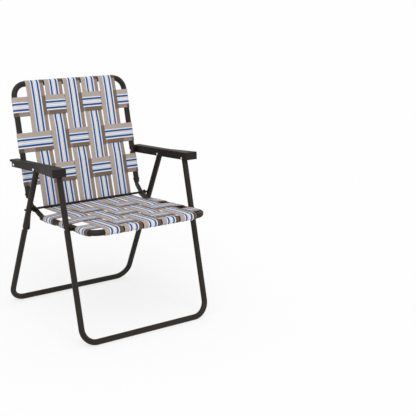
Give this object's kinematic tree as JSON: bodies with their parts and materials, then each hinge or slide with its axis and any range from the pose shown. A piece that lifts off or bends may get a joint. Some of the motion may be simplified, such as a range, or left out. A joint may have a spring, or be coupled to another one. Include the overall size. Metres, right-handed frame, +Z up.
{
  "type": "folding lawn chair",
  "caption": "Folding lawn chair with bent tube legs, woven striped webbing on seat and back, and flat black armrests on riveted pivots.",
  "frame": {"origin": "on the floor, under the middle of the whole chair's box", "axes": "+Z up, the chair faces -Y, its left armrest as seen from the front is at -X"},
  "size_m": [0.6028, 0.5808, 0.8455],
  "materials": {
    "frame_coat": "satin dark coat on steel tube",
    "black_plastic": "moulded, fine grain",
    "zinc": "bright zinc plate",
    "webbing": "woven plastic tape with stripes"
  },
  "bodies": {
    "seat": {"hinge_rod": "frame_coat", "rod_cap_left": "black_plastic", "rod_cap_right": "black_plastic", "rod_spacer_left": "black_plastic", "rod_spacer_right": "black_plastic", "seat_cross_strap_1": "webbing", "seat_cross_strap_2": "webbing", "seat_cross_strap_3": "webbing", "seat_frame": "frame_coat", "seat_long_strap_1": "webbing", "seat_long_strap_2": "webbing", "seat_long_strap_3": "webbing", "seat_long_strap_4": "webbing", "seat_long_strap_5": "webbing", "seat_rivet_left": "zinc", "seat_rivet_right": "zinc", "seat_spacer_left": "black_plastic", "seat_spacer_right": "black_plastic", "seat_tang_left": "frame_coat", "seat_tang_right": "frame_coat", "seat_tang_rivet_left": "frame_coat", "seat_tang_rivet_right": "frame_coat"},
    "back": {"back_cross_strap_1": "webbing", "back_cross_strap_2": "webbing", "back_cross_strap_3": "webbing", "back_frame": "frame_coat", "back_long_strap_1": "webbing", "back_long_strap_2": "webbing", "back_long_strap_3": "webbing", "back_long_strap_4": "webbing", "back_long_strap_5": "webbing", "back_tang_left": "frame_coat", "back_tang_right": "frame_coat", "back_tang_rivet_left": "frame_coat", "back_tang_rivet_right": "frame_coat"},
    "armrests": {"arm_front_rivet_left": "zinc", "arm_front_rivet_right": "zinc", "arm_middle_rivet_left": "zinc", "arm_middle_rivet_right": "zinc", "arm_rear_rivet_left": "zinc", "arm_rear_rivet_right": "zinc", "arm_spacer_left": "black_plastic", "arm_spacer_right": "black_plastic", "armrest_left": "black_plastic", "armrest_right": "black_plastic"},
    "front_legs": {"front_leg_frame": "frame_coat", "front_leg_rivet_left": "zinc", "front_leg_rivet_right": "zinc"},
    "rear_legs": {"link_rivet_left": "zinc", "link_rivet_right": "zinc", "rear_leg_frame": "frame_coat"},
    "rear_links": {"link_rivet_tail_left": "zinc", "link_rivet_tail_right": "zinc", "rear_link_left": "frame_coat", "rear_link_right": "frame_coat"}
  },
  "joints": [
    {"name": "fold", "type": "hinge", "parent": "seat", "child": "back", "pos_m": [0, 0.13576, 0.39774], "axis": [1, 0, 0], "range_deg": [0, 101]},
    {"name": "arm_turn", "type": "hinge", "parent": "back", "child": "armrests", "pos_m": [0, 0.20131, 0.55444], "axis": [1, 0, 0], "range_deg": [-98.17, 0]},
    {"name": "front_leg_turn", "type": "hinge", "parent": "armrests", "child": "front_legs", "pos_m": [0, -0.10688, 0.5768], "axis": [1, 0, 0], "range_deg": [0, 89.71]},
    {"name": "rear_leg_turn", "type": "hinge", "parent": "armrests", "child": "rear_legs", "pos_m": [0, 0.05029, 0.5654], "axis": [1, 0, 0], "range_deg": [0, 50.62]},
    {"name": "link_turn", "type": "hinge", "parent": "seat", "child": "rear_links", "pos_m": [0, 0.13576, 0.39774], "axis": [1, 0, 0], "range_deg": [-80.33, 0]}
  ],
  "couplings": [
    {"joint": "arm_turn", "follows": "fold", "ratio": -0.971},
    {"joint": "front_leg_turn", "follows": "fold", "ratio": 0.8872},
    {"joint": "rear_leg_turn", "follows": "fold", "ratio": 0.5002},
    {"joint": "link_turn", "follows": "fold", "ratio": -0.7944}
  ]
}
